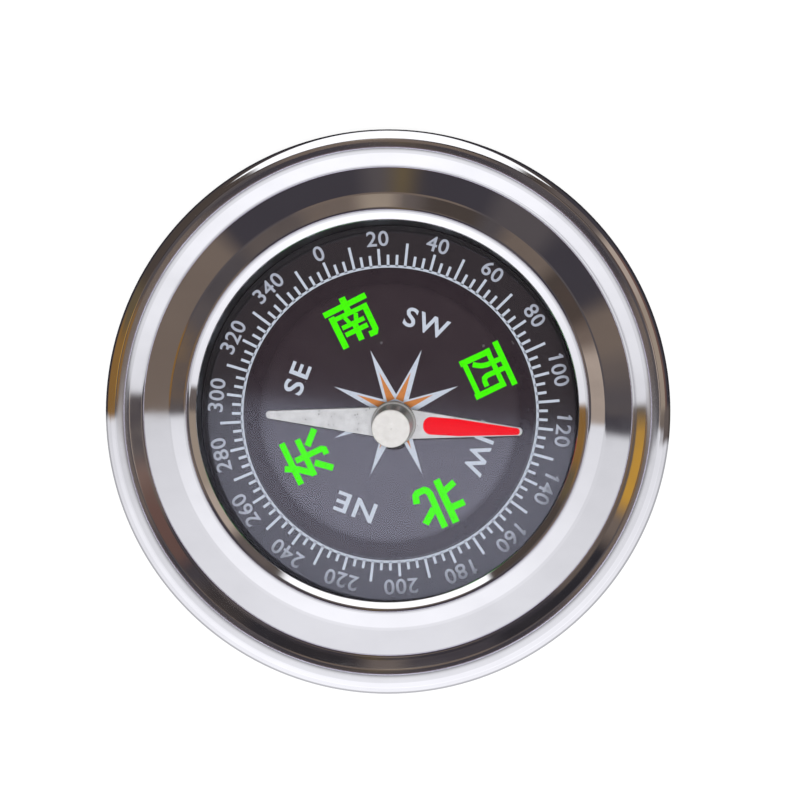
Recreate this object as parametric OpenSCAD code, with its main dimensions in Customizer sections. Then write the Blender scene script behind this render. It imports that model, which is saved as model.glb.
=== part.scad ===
// Pocket compass: a drawn steel case with a rolled hem, a black needle well under flat glass,
// and a magnetised needle that balances on a steel point.
// Millimetres. +Z is up, and the origin is the middle of the face that the case rests on.
// The section drawings below are [radius, height] pairs, turned round the axis.

/* [Case] */
// Diameter of the case at its widest
case_d = 75; // [66:1:90]
// Thickness of the drawn steel of both shells
sheet_t = 0.6; // [0.4:0.05:0.8]
// Width of the shoulder, from the rim's crest to the side
shoulder_w = 2.6; // [2.3:0.1:3.2]
// Angle of the narrow slope in the middle of the shoulder, in degrees
shoulder_slope = 38; // [30:1:45]
// Radius between the rim's crest and that slope
rim_out_r = 2.1; // [1.6:0.1:2.5]
// Radius between that slope and the side
shoulder_r = 2.2; // [1.6:0.1:2.8]
// Inner radius of the rounded rim crest
rim_r = 1.2; // [0.9:0.1:1.5]
// Width of the steep face between the rim crest and the groove
groove_w = 2.4; // [1.8:0.1:3]
// Angle of that steep face, in degrees
groove_slope = 37; // [25:1:45]
// Radius at the bottom of the groove
groove_r = 0.3; // [0.2:0.1:0.8]
// Angle of the wide face that rises from the groove, in degrees
cone_slope = 16; // [8:1:20]
// Width of that wide face
cone_w = 3.6; // [3:0.1:5]
// Width of the steeper flank outside the lip's crest
flank_w = 2.3; // [1.8:0.1:3]
// Angle of that flank, in degrees
flank_slope = 33; // [25:1:40]
// Radius where the wide face turns into the flank
flank_blend_r = 1.6; // [0.8:0.1:2]
// Radius of the lip's crest
bead_r = 0.45; // [0.3:0.05:0.8]
// Width of the face that falls from the crest to the glass
lip_w = 1.3; // [1.1:0.1:1.6]
// Angle of that face, in degrees
lip_slope = 42; // [35:1:50]
// Radius of the edge under that face
lip_edge_r = 0.3; // [0.2:0.05:0.5]
// Height of the lip's crest above the gasket
lip_h = 1.6; // [1.4:0.1:1.8]
// Height of the hem's underside above the resting face
hem_z = 2; // [1.2:0.1:3]
// Radius at which the side curls in to the hem
curl_r = 2.6; // [1.8:0.1:3.4]
// How far the hem reaches in under the back shell's flange
hem_lap = 2; // [1.4:0.1:2.4]

/* [Back shell] */
// Width of the flange that the hem holds
flange_w = 2.7; // [2.5:0.1:3.2]
// Outer radius of the corner round the resting face
base_corner_r = 1.5; // [1:0.1:1.8]
// How far the wall of the back shell spreads between its base and its flange
back_wall_run = 1.2; // [0.8:0.1:1.5]
// Radius where that wall turns into the flange
flange_bend_r = 0.5; // [0.3:0.1:0.8]

/* [Glass] */
// Thickness of the glass
glass_t = 2; // [1.5:0.1:2.4]
// How far the glass reaches under the steel lip
glass_lap = 1.6; // [1.2:0.1:1.8]
// Thickness of each flange of the rubber gasket
gasket_t = 0.4; // [0.3:0.05:0.6]
// Thickness of the gasket's outer wall
gasket_wall = 0.7; // [0.4:0.1:0.9]
// Bevel on the edges of the glass
glass_bevel = 0.2; // [0.1:0.05:0.3]

/* [Needle well] */
// How far the wall of the well stands back from the edge of the steel lip
well_setback = 0.2; // [0:0.05:0.3]
// Thickness of the well's wall
cup_wall = 1.5; // [1:0.1:1.9]
// Thickness of the well's floor
floor_t = 1.6; // [1.2:0.1:2]
// Height of the space under the floor
under_floor = 2.5; // [1.8:0.1:4]
// Thickness of the well's foot flange
cup_foot_t = 1.4; // [1:0.1:2]
// Radius between the floor and the wall, under the dial's edge
cup_corner_r = 0.8; // [0.4:0.1:1.2]
// Thickness of the printed dial
dial_t = 0.5; // [0.3:0.1:0.8]
// Thickness of the packing ring under the well
packing_t = 1; // [0.6:0.1:1.4]
// Width of the packing ring
packing_w = 9; // [6:0.5:12]

/* [Pivot] */
// How far the pivot stands to the right of the middle of the dial
pivot_x = 0.5; // [-1:0.1:1]
// How far the pivot stands above the middle of the dial, seen from the front
pivot_y = -1.9; // [-2:0.1:2]
// Diameter of the pin
pin_d = 0.9; // [0.8:0.05:1]
// Length of the pin's ground point
pin_point_l = 1.6; // [1.2:0.1:2]
// Diameter of the blunt end of the point
pin_tip_d = 0.1; // [0.06:0.01:0.14]
// Diameter of the brass boss's stem
boss_stem_d = 2.4; // [2:0.1:2.8]
// Diameter of the boss's head on the dial
boss_head_d = 3.6; // [3.2:0.1:4]
// Height of the head's straight side
boss_head_h = 0.5; // [0.3:0.1:0.7]
// Diameter of the top of the boss
boss_top_d = 2; // [1.6:0.1:2.4]
// Height of the boss above the dial
boss_h = 1.4; // [1:0.1:1.6]
// Diameter of the riveted tail under the floor
boss_tail_d = 3.4; // [3:0.1:4]
// Thickness of the riveted tail
boss_tail_t = 0.5; // [0.3:0.1:0.7]

/* [Needle] */
// Length of the needle
needle_l = 34.6; // [28:0.2:38]
// Width of the needle at its middle, if its edges ran on to it
needle_w = 4.45; // [3.6:0.05:4.8]
// Width of the rounded tips
tip_w = 1.1; // [0.6:0.02:1.4]
// Diameter of the round middle of the needle
middle_d = 6; // [5.8:0.1:6.6]
// Thickness of the needle
blade_t = 0.4; // [0.2:0.05:0.6]
// Drop from the point of the pin to the needle's upper face
blade_drop = 2.4; // [2:0.1:2.6]
// Direction of the painted end, in degrees from +X towards +Y
needle_heading = -4; // [-180:0.1:180]
// Roll of the needle about its length, in degrees
needle_roll = 11; // [0:0.5:15]
// How far the painted end stands up, in degrees
needle_dip = 3; // [0:0.5:8]
// Diameter of the cap's flange on the needle
cap_flange_d = 6; // [5.8:0.1:6.4]
// Thickness of the cap's flange
cap_flange_t = 0.5; // [0.3:0.1:0.8]
// Diameter of the cap's neck just above the flange
cap_neck_d = 5.4; // [5.3:0.1:5.7]
// Diameter of the cap's flat top
cap_top_d = 5.15; // [4.8:0.05:5.2]
// Height of the cap's top above the point of the pin
cap_rise = 2.2; // [1.6:0.1:2.4]
// Bevel round the cap's top
cap_bevel = 0.15; // [0.1:0.05:0.3]
// Diameter of the centre mark in the cap's top
cap_mark_d = 0.3; // [0.2:0.05:0.5]
// Depth of that centre mark
cap_mark_h = 0.12; // [0.05:0.01:0.2]
// Wall of the cap's spigot, which passes through the needle
spigot_wall = 0.5; // [0.3:0.1:0.6]
// Length of spigot riveted over under the needle
spigot_tail = 0.4; // [0.2:0.05:0.5]
// Height of the jewel above the point of the pin
jewel_rise = 0.8; // [0.6:0.1:1]
// Depth of the jewel's cup
jewel_cup_h = 0.9; // [0.7:0.1:1.1]
// Angle between the side of the cup and the jewel's axis, in degrees
jewel_angle = 45; // [40:1:55]

/* [Clearances] */
// Gap between round pieces that are pressed or laid one in the other
fit_gap = 0.02; // [0.01:0.01:0.05]
// Gap between the edge of the dial and the wall of the well
dial_gap = 0.1; // [0.05:0.05:0.3]
// Gap between the well's foot and the wall of the back shell
foot_gap = 0.3; // [0.1:0.05:0.5]
// Room between the needle's lower tip and the dial
dial_play = 2; // [1:0.1:3]
// Room between the cap's spigot and the boss
boss_play = 1.2; // [0.4:0.1:2]
// Room between the cap's top and the glass, less than the pin's depth in the cap
cap_play = 1; // [0.6:0.1:1.4]
// Room between the pin and the mouth of the cap's bore
pin_play = 0.25; // [0.15:0.05:0.4]
// Play between the point of the pin and the jewel
point_gap = 0.03; // [0.02:0.01:0.05]

/* [Hidden] */
$fn = 96;

// Largest turn between two points of an arc, in degrees
arc_step = 9;
// Overrun of every cut
over = 0.5 * sheet_t;
// Points of a path nearer than this are one point
weld = 0.001;

// Radii of the top shell, worked in from the side to the opening over the glass
case_r = case_d / 2;
crest_r = case_r - shoulder_w;
crease_r = crest_r - groove_w;
flank_foot_r = crease_r - cone_w;
bead_mid_r = flank_foot_r - flank_w;
lip_r = bead_mid_r - lip_w;
rim_corner_r = crest_r - rim_r * tan(groove_slope / 2);
shoulder_top_r = crest_r + rim_out_r * tan(shoulder_slope / 2);
flank_top_r = bead_mid_r + bead_r * tan(flank_slope / 2);
lip_top_r = bead_mid_r - bead_r * tan(lip_slope / 2);

// The back shell, whose flange lies on the flat of the hem and ends where the side curls up
flange_z = hem_z + sheet_t;
back_flange_r = case_r - curl_r;
back_wall_r = back_flange_r - flange_w;
base_edge_r = back_wall_r - back_wall_run;

// The well, which stands on the packing ring
packing_top_z = sheet_t + packing_t;
cup_in_r = lip_r + well_setback;
cup_out_r = cup_in_r + cup_wall;
cup_foot_r = base_edge_r - sheet_t - foot_gap;
floor_z = packing_top_z + under_floor;
floor_top_z = floor_z + floor_t;
dial_z = floor_top_z + dial_t;

// The needle's parts, measured from the point of the pin
lean = acos(cos(needle_roll) * cos(needle_dip));
blade_z = -blade_drop - blade_t;
spigot_z = blade_z - spigot_tail;
bore_r = pin_play + pin_d / 2 / cos(lean) - spigot_z * tan(lean);
spigot_r = bore_r + spigot_wall;
cap_top_r = cap_top_d / 2;
jewel_tip_r = pin_tip_d / 2 + point_gap;

// The point stands high enough for the lower tip to clear the dial and the spigot to clear the boss
tip_reach = -blade_z * cos(lean) + needle_l / 2 * sin(needle_dip) + tip_w / 2 * sin(needle_roll);
spigot_reach = -spigot_z * cos(lean) + spigot_r * sin(lean);
tip_z = dial_z + max(dial_play + tip_reach, boss_h + boss_play + spigot_reach);

// The glass lies clear above the cap, and the lip above the glass
glass_z = tip_z + cap_rise * cos(lean) + cap_top_r * sin(lean) + cap_play;
glass_top_z = glass_z + glass_t;
gasket_z = glass_z - gasket_t;
gasket_top_z = glass_top_z + gasket_t;
glass_r = lip_r + glass_lap;
gasket_r = glass_r + fit_gap + gasket_wall;

// Heights of the top shell, worked down from the crest of its lip
case_h = gasket_top_z + lip_h;
lip_edge_z = case_h - (lip_top_r - lip_r) * tan(lip_slope);
flank_foot_z = case_h - (flank_foot_r - flank_top_r) * tan(flank_slope);
crease_z = flank_foot_z - cone_w * tan(cone_slope);
rim_z = crease_z + (rim_corner_r - crease_r) * tan(groove_slope);
shoulder_z = rim_z - (case_r - shoulder_top_r) * tan(shoulder_slope);

function unit(v) = v / norm(v);
function left_of(v) = unit([-v[1], v[0]]);

// The arc that rounds the corner q between p and s
function corner(p, q, s, r) =
    let (u = unit(p - q), v = unit(s - q), half = acos(u * v) / 2)
    let (centre = q + unit(u + v) * r / sin(half))
    let (from = q + u * r / tan(half) - centre, to = q + v * r / tan(half) - centre)
    let (start = atan2(from[1], from[0]), end = atan2(to[1], to[0]))
    let (sweep = (end - start + 540) % 360 - 180, steps = max(2, ceil(abs(sweep) / arc_step)))
    [for (i = [0:steps]) centre + r * [cos(start + sweep * i / steps), sin(start + sweep * i / steps)]];

// A path without the points that repeat the one before, as where one arc runs into the next
function distinct(path) =
    [for (i = [0:len(path) - 1]) if (i == 0 || norm(path[i] - path[max(i - 1, 0)]) > weld) path[i]];

// A path through [radius, height, corner radius] triples, its corners rounded
function rounded(points) =
    let (last = len(points) - 1, at = [for (p = points) [p[0], p[1]]])
    distinct([for (i = [0:last]) each points[i][2] == 0
        ? [at[i]]
        : corner(at[i - 1], at[i], at[i + 1], points[i][2])]);

// Corner triples moved t to the left of their path: an inside corner's radius shrinks, an outside one's grows
function shifted(points, t) =
    let (last = len(points) - 1, at = [for (p = points) [p[0], p[1]]])
    [for (i = [0:last])
        let (a = left_of(i > 0 ? at[i] - at[i - 1] : at[1] - at[0]))
        let (b = left_of(i < last ? at[i + 1] - at[i] : at[last] - at[last - 1]))
        let (m = unit(a + b), q = at[i] + m * t / (m * a), bend = sign(cross(a, b)))
        [q[0], q[1], points[i][2] == 0 ? 0 : max(0, points[i][2] - bend * t)]];

// The outline of a sheet t thick to the left of a rounded path, or to its right where t is negative
function sheet_outline(points, t) =
    let (far = rounded(shifted(points, t)))
    concat(rounded(points), [for (i = [len(far) - 1:-1:0]) far[i]]);

// Places its children in the needle's own frame: origin on the pin's point, +X to the painted end
module on_point() {
    translate([pivot_x, pivot_y, tip_z])
        rotate([needle_roll, -needle_dip, needle_heading])
            children();
}

// The drawn top shell: bead, flank, wide cone, groove, rim, side and hem in one sheet
module bezel() {
    path = [
        [lip_r, gasket_top_z, 0],
        [lip_r, lip_edge_z, lip_edge_r],
        [lip_top_r, case_h, bead_r],
        [flank_top_r, case_h, bead_r],
        [flank_foot_r, flank_foot_z, flank_blend_r],
        [crease_r, crease_z, groove_r],
        [rim_corner_r, rim_z, rim_r],
        [shoulder_top_r, rim_z, rim_out_r],
        [case_r, shoulder_z, shoulder_r],
        [case_r, hem_z, curl_r],
        [back_flange_r - hem_lap, hem_z, 0]
    ];
    color("silver")
        rotate_extrude()
            polygon(sheet_outline(path, -sheet_t));
}

// The drawn back shell: a flat resting face, a low wall and a flange that the hem holds
module back_shell() {
    path = [
        [0, 0, 0],
        [base_edge_r, 0, base_corner_r],
        [back_wall_r, flange_z, flange_bend_r],
        [back_flange_r, flange_z, 0]
    ];
    color("silver")
        rotate_extrude()
            polygon(sheet_outline(path, sheet_t));
}

// The flat glass, bevelled round both edges
module crystal() {
    color([0.85, 0.93, 0.95, 0.35])
        rotate_extrude()
            polygon([
                [0, glass_z],
                [glass_r - glass_bevel, glass_z],
                [glass_r, glass_z + glass_bevel],
                [glass_r, glass_top_z - glass_bevel],
                [glass_r - glass_bevel, glass_top_z],
                [0, glass_top_z]
            ]);
}

// The black rubber channel that holds the edge of the glass
module crystal_gasket() {
    seat_r = glass_r + fit_gap;
    color([0.06, 0.06, 0.07])
        rotate_extrude()
            polygon(rounded([
                [cup_in_r, glass_z, 0],
                [cup_in_r, gasket_z, 0],
                [gasket_r, gasket_z, 0],
                [gasket_r, gasket_top_z, gasket_t],
                [cup_in_r, gasket_top_z, gasket_t / 2],
                [cup_in_r, glass_top_z, 0],
                [seat_r, glass_top_z, 0],
                [seat_r, glass_z, 0]
            ]));
}

// The moulded black well: its rim carries the glass, its floor the dial, its foot stands on the packing
module dial_cup() {
    color([0.05, 0.05, 0.06])
        difference() {
            rotate_extrude()
                polygon(rounded([
                    [0, floor_z, 0],
                    [cup_in_r, floor_z, cup_corner_r],
                    [cup_in_r, packing_top_z, 0],
                    [cup_foot_r, packing_top_z, 0],
                    [cup_foot_r, packing_top_z + cup_foot_t, 0],
                    [cup_out_r, packing_top_z + cup_foot_t, cup_corner_r],
                    [cup_out_r, gasket_z, 0],
                    [cup_in_r, gasket_z, 0],
                    [cup_in_r, floor_top_z, 0],
                    [0, floor_top_z, 0]
                ]));
            translate([pivot_x, pivot_y, floor_z - over])
                cylinder(h = floor_t + 2 * over, d = boss_stem_d + 2 * fit_gap);
        }
}

// The printed disc on the floor of the well, pierced for the boss
module dial_plate() {
    color([0.1, 0.1, 0.11])
        difference() {
            translate([0, 0, floor_top_z])
                cylinder(h = dial_t, r = cup_in_r - dial_gap);
            translate([pivot_x, pivot_y, floor_top_z - over])
                cylinder(h = dial_t + 2 * over, d = boss_stem_d + 2 * fit_gap);
        }
}

// The soft ring that presses the well up against the glass
module cup_packing() {
    color([0.55, 0.42, 0.28])
        translate([0, 0, sheet_t])
            difference() {
                cylinder(h = packing_t, r = cup_foot_r);
                translate([0, 0, -over])
                    cylinder(h = packing_t + 2 * over, r = cup_foot_r - packing_w);
            }
}

// The turned brass boss, riveted through the dial and the floor
module pivot_boss() {
    hole_r = pin_d / 2 + fit_gap;
    color([0.78, 0.62, 0.3])
        translate([pivot_x, pivot_y, 0])
            rotate_extrude()
                polygon([
                    [hole_r, floor_z - boss_tail_t],
                    [boss_tail_d / 2, floor_z - boss_tail_t],
                    [boss_tail_d / 2, floor_z],
                    [boss_stem_d / 2, floor_z],
                    [boss_stem_d / 2, dial_z],
                    [boss_head_d / 2, dial_z],
                    [boss_head_d / 2, dial_z + boss_head_h],
                    [boss_top_d / 2, dial_z + boss_h],
                    [hole_r, dial_z + boss_h]
                ]);
}

// The steel pin, ground to a point
module pivot_pin() {
    foot_z = floor_z - boss_tail_t;
    color([0.72, 0.72, 0.74])
        translate([pivot_x, pivot_y, foot_z]) {
            cylinder(h = tip_z - pin_point_l - foot_z, d = pin_d);
            translate([0, 0, tip_z - pin_point_l - foot_z])
                cylinder(h = pin_point_l, d1 = pin_d, d2 = pin_tip_d);
        }
}

// One half of the needle's outline, from its middle to its rounded tip
module blade_half() {
    tip_x = (needle_l - tip_w) / 2;
    polygon([[0, -needle_w / 2], [tip_x, -tip_w / 2], [tip_x, tip_w / 2], [0, needle_w / 2]]);
    translate([tip_x, 0])
        circle(d = tip_w);
}

// The magnetised steel needle
module needle_blade() {
    color([0.8, 0.8, 0.8])
        on_point()
            translate([0, 0, blade_z])
                linear_extrude(blade_t)
                    difference() {
                        union() {
                            circle(d = middle_d);
                            blade_half();
                            mirror([1, 0])
                                blade_half();
                        }
                        circle(r = spigot_r + fit_gap);
                    }
}

// The turned cap: flange, tapered body and flat top with its centre mark, bored from below
module needle_cap() {
    color([0.88, 0.86, 0.82])
        on_point()
            rotate_extrude()
                polygon([
                    [0, jewel_rise],
                    [bore_r, jewel_rise],
                    [bore_r, spigot_z],
                    [spigot_r, spigot_z],
                    [spigot_r, -blade_drop],
                    [cap_flange_d / 2, -blade_drop],
                    [cap_flange_d / 2, cap_flange_t - blade_drop],
                    [cap_neck_d / 2, cap_flange_t - blade_drop],
                    [cap_top_r, cap_rise - cap_bevel],
                    [cap_top_r - cap_bevel, cap_rise],
                    [cap_mark_d / 2, cap_rise],
                    [0, cap_rise - cap_mark_h]
                ]);
}

// The jewel: its conical cup rides on the pin's point
module cap_jewel() {
    foot_z = point_gap - jewel_cup_h;
    jewel_r = bore_r - fit_gap;
    color([0.7, 0.15, 0.25])
        on_point()
            rotate_extrude()
                polygon([
                    [0, point_gap],
                    [jewel_tip_r, point_gap],
                    [jewel_tip_r + jewel_cup_h * tan(jewel_angle), foot_z],
                    [jewel_r, foot_z],
                    [jewel_r, jewel_rise],
                    [0, jewel_rise]
                ]);
}

bezel();
back_shell();
crystal();
crystal_gasket();
dial_cup();
dial_plate();
cup_packing();
pivot_boss();
pivot_pin();
needle_blade();
needle_cap();
cap_jewel();
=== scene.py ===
"""Pocket compass: a drawn steel case with a rolled hem, a black well with a printed dial under flat
glass, and a magnetised needle that balances on a steel point. In metres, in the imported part's frame."""
import math

import bmesh
import bpy
from mathutils import Euler, Matrix, Vector


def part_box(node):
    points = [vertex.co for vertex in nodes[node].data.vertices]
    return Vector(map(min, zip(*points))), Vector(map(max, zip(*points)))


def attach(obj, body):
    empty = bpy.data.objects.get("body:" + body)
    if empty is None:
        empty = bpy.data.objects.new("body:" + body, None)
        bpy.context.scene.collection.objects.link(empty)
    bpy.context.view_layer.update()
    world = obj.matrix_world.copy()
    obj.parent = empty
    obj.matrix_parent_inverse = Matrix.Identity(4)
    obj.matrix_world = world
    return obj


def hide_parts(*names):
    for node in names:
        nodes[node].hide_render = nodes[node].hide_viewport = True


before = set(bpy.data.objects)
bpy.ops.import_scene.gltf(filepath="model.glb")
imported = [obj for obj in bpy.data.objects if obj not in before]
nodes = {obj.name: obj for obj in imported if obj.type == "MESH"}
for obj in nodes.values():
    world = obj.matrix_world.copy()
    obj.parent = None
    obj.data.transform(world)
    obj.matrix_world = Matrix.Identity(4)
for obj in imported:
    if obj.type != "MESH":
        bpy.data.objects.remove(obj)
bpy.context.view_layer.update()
scene = bpy.context.scene

# The camera looks down on the glass from about 0.6 m through a long lens, a few degrees off the
# case's axis, with the dial's +Y up the picture.
mm = 0.001
camera_place = Vector((14.2, -17.9, 614)) * mm
camera_aim = Vector((1.571, 1.545, 14.03)) * mm
camera_data = bpy.data.cameras.new("camera")
camera_data.sensor_width = 36
camera_data.lens = 202.6
camera = bpy.data.objects.new("camera", camera_data)
view_back = (camera_place - camera_aim).normalized()
view_right = Vector((0, 1, 0)).cross(view_back).normalized()
view_up = view_back.cross(view_right)
camera_turn = Matrix((view_right, view_up, view_back)).transposed().to_4x4()
camera.matrix_world = Matrix.Translation(camera_place) @ camera_turn
scene.collection.objects.link(camera)
scene.camera = camera
scene.view_settings.view_transform = "Standard"


# The room that polished steel and glass mirror. Towards the reader it is one bright half, with a dark
# gap below a bluish light overhead. Beyond the compass it is dim, with furnished walls and one oval
# window low in the middle. Azimuth is clockwise from +Y seen from above, in degrees.
night, slate, umber = (0.03, 0.028, 0.034), (0.065, 0.058, 0.07), (0.09, 0.07, 0.06)
grey, stone, rust = (0.115, 0.1, 0.105), (0.16, 0.13, 0.12), (0.18, 0.1, 0.085)
tan, sand, cream = (0.22, 0.17, 0.14), (0.42, 0.34, 0.27), (0.54, 0.44, 0.37)
olive, amber, gold = (0.16, 0.12, 0.07), (0.3, 0.16, 0.05), (0.72, 0.39, 0.06)
mauve, white, black = (0.25, 0.18, 0.2), (1, 1, 1), (0, 0, 0)
# The level of the bright half at each elevation. It fades towards the sides and is bluer overhead.
bright_half = [
    (0, 1.3), (8, 1.48), (11, 1.48), (13, 1.28), (16, 1.35), (21, 1.4), (26, 1.2), (34, 1.13),
    (53, 1.1), (60, 1), (68, 0.72), (76, 0.45), (84.5, 0.4), (86.5, 1.35), (88, 1.46),
]
bright_fade, side_blue, overhead_blue, overhead_from = 0.3, 1.05, 1.28, 86
# Each band of the dim half: where it starts, and from left to right where each thing in it ends.
# To the right the bands climb by one degree in every hang_run.
room_span, edge_blur, thing_blur, hang_run = 100, 1.2, 2.4, 28
room_bands = [
    (-90, [(100, slate)]),
    (-10.5, [(-70, amber), (-62, olive), (36, umber), (54, slate), (90, rust), (100, stone)]),
    (-2.5, [(-72, amber), (-62, olive), (34, umber), (49, stone), (64, cream), (90, sand), (100, tan)]),
    (13.8, [(-86, olive), (-66, gold), (-58, tan), (-26, night), (-5, slate), (4, stone), (44, night),
            (51, slate), (76, rust), (100, slate)]),
    (18.3, [(-42, grey), (-24, stone), (-9, tan), (1, sand), (8, stone), (24, umber), (31, grey),
            (47, tan), (64, umber), (71, tan), (100, cream)]),
    (26, [(-86, grey), (-66, amber), (-25, grey), (20, tan), (100, grey)]),
    (42, [(-43, tan), (-8, slate), (-1.5, grey), (4, olive), (24, slate), (40, grey), (60, slate),
          (73, tan), (80, stone), (88, grey), (100, stone)]),
    (78, [(100, mauve)]),
]
# Two things that stand at the right end of the bright half: span of azimuth, span of elevation, colour
late_things = [((88, 93.5), (38, 76), slate), ((88, 95.5), (-90, 12), stone)]
window_middle, window_half, window_blur = (0, 1.5), (34, 13.5), 0.06
window_light = (1.55, 1.55, 1.58)
# The dim half starts just beyond the zenith. Its edge slants to the right, and near the zenith to
# the left as well, and is softer at the table's height than overhead.
beyond_zenith, right_slant, left_slant = 0.0267, 0.05, 0.108
near_zenith, near_zenith_blur = 0.99, 0.004
half_blur_low, half_blur_high = 0.023, 0.003
# The table lies in the compass's own shade where it is nearest
near_shade, near_elevation = 0.5, -11.5


def linked(tree, kind, inputs=(), **settings):
    """A new shader node with its settings, and its inputs set to values or linked to outputs."""
    node = tree.nodes.new(kind)
    for name, value in settings.items():
        setattr(node, name, value)
    for socket, value in dict(inputs).items():
        if isinstance(value, bpy.types.NodeSocket):
            tree.links.new(value, node.inputs[socket])
        else:
            node.inputs[socket].default_value = value
    return node


def maths(tree, operation, *values):
    return linked(tree, "ShaderNodeMath", enumerate(values), operation=operation).outputs[0]


def mixed(tree, share, first, second):
    """The first colour, going over to the second as the share grows to one."""
    def colour(value):
        return value if isinstance(value, bpy.types.NodeSocket) else (*value[:3], 1)
    inputs = {0: share, 6: colour(first), 7: colour(second)}
    return linked(tree, "ShaderNodeMix", inputs, data_type="RGBA").outputs[2]


def step_up(tree, value, edge, softness):
    """Zero below the edge and one above it."""
    inputs = {"Value": value, "From Min": edge - softness, "From Max": edge + softness}
    return linked(tree, "ShaderNodeMapRange", inputs, interpolation_type="SMOOTHSTEP").outputs[0]


def ranged(tree, value, low, high, from_low=0.0, from_high=1.0):
    """The value carried over from one range to another."""
    inputs = {"Value": value, "From Min": from_low, "From Max": from_high, "To Min": low,
              "To Max": high}
    return linked(tree, "ShaderNodeMapRange", inputs).outputs[0]


def ramp(tree, value, stops):
    """The colour at this value between (place, colour) stops."""
    node = linked(tree, "ShaderNodeValToRGB", {"Fac": value})
    elements = node.color_ramp.elements
    while len(elements) < len(stops):
        elements.new(1)
    while len(elements) > len(stops):
        elements.remove(elements[-1])
    for element, (place, colour) in zip(elements, stops):
        element.position = place
        element.color = (*colour, 1)
    return node.outputs[0]


def band_colour(tree, azimuth, things):
    """The colour along one band of the room, with a soft edge between its things."""
    stops = [(0, things[0][1])]
    for (end, colour), (_, following) in zip(things, things[1:]):
        for side, shade in ((-thing_blur, colour), (thing_blur, following)):
            stops.append(((end + side + room_span) / (2 * room_span), shade))
    return ramp(tree, ranged(tree, azimuth, 0, 1, -room_span, room_span), stops)


def between(tree, value, span, softness=edge_blur):
    """One inside the span and zero outside it."""
    low, high = span
    return maths(tree, "MULTIPLY", step_up(tree, value, low, softness),
                 maths(tree, "SUBTRACT", 1, step_up(tree, value, high, softness)))


def room_colour(tree, direction):
    """What a mirror shows in this direction."""
    x, y, z = linked(tree, "ShaderNodeSeparateXYZ", {0: direction}).outputs
    degree = 180 / math.pi
    azimuth = maths(tree, "MULTIPLY", maths(tree, "ARCTAN2", x, y), degree)
    elevation = maths(tree, "MULTIPLY", maths(tree, "ARCSINE", z), degree)
    climb = maths(tree, "DIVIDE", maths(tree, "MAXIMUM", azimuth, 0), hang_run)
    height = maths(tree, "SUBTRACT", elevation, climb)
    dim = band_colour(tree, azimuth, room_bands[0][1])
    for start, things in room_bands[1:]:
        band = band_colour(tree, azimuth, things)
        dim = mixed(tree, step_up(tree, height, start, edge_blur), dim, band)
    reach = [maths(tree, "DIVIDE", maths(tree, "SUBTRACT", value, middle), half)
             for value, middle, half in zip((azimuth, elevation), window_middle, window_half)]
    reach = maths(tree, "ADD", *(maths(tree, "MULTIPLY", share, share) for share in reach))
    dim = mixed(tree, step_up(tree, reach, 1, window_blur), window_light, dim)
    # A ramp holds no more than one, so the bright half's levels are halved in it and doubled after
    stops = []
    for start, level in bright_half:
        blue = overhead_blue if start > overhead_from else side_blue
        stops.append((start / 90, (level / 2, level / 2, level / 2 * blue)))
    bright = ramp(tree, maths(tree, "DIVIDE", elevation, 90), stops)
    across = maths(tree, "SQRT", maths(tree, "SUBTRACT", 1, maths(tree, "MULTIPLY", z, z)))
    fade = maths(tree, "MULTIPLY", maths(tree, "ADD", across, y), bright_fade)
    level = maths(tree, "MULTIPLY", maths(tree, "SUBTRACT", 1, fade), 2)
    level = linked(tree, "ShaderNodeCombineXYZ", {0: level, 1: level, 2: level}).outputs[0]
    bright = linked(tree, "ShaderNodeVectorMath", {0: bright, 1: level}, operation="MULTIPLY")
    bright = bright.outputs[0]
    behind = maths(tree, "SUBTRACT", y, maths(tree, "MULTIPLY", z, beyond_zenith))
    right, left = maths(tree, "MAXIMUM", x, 0), maths(tree, "MINIMUM", x, 0)
    behind = maths(tree, "ADD", behind, maths(tree, "MULTIPLY", right, right_slant))
    slant = maths(tree, "MULTIPLY", step_up(tree, z, near_zenith, near_zenith_blur), left_slant)
    behind = maths(tree, "ADD", behind, maths(tree, "MULTIPLY", left, slant))
    blur = ranged(tree, z, half_blur_low, half_blur_high)
    colour = mixed(tree, step_up(tree, maths(tree, "DIVIDE", behind, blur), 0, 1), bright, dim)
    for azimuths, elevations, thing in late_things:
        inside = maths(tree, "MULTIPLY", between(tree, azimuth, azimuths),
                       between(tree, elevation, elevations))
        colour = mixed(tree, inside, colour, thing)
    shade = maths(tree, "SUBTRACT", 1, step_up(tree, elevation, near_elevation, edge_blur))
    return mixed(tree, maths(tree, "MULTIPLY", shade, near_shade), colour, black)


def bounced(tree, path):
    """One for light that has met a matt surface on its way."""
    return maths(tree, "GREATER_THAN", path["Diffuse Depth"], 0.5)


world = bpy.data.worlds.new("room")
scene.world = world
world.use_nodes = True
world.cycles.sampling_method = "NONE"
sky = world.node_tree
sky.nodes.clear()
fill_level = 0.25
path = linked(sky, "ShaderNodeLightPath").outputs
looked_at = linked(sky, "ShaderNodeTexCoord").outputs["Generated"]
sky_colour = mixed(sky, path["Is Camera Ray"], room_colour(sky, looked_at), white)
sky_colour = mixed(sky, bounced(sky, path), sky_colour, (fill_level,) * 3)
backdrop = linked(sky, "ShaderNodeBackground", {"Color": sky_colour, "Strength": 1})
linked(sky, "ShaderNodeOutputWorld", {"Surface": backdrop.outputs[0]})

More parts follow.
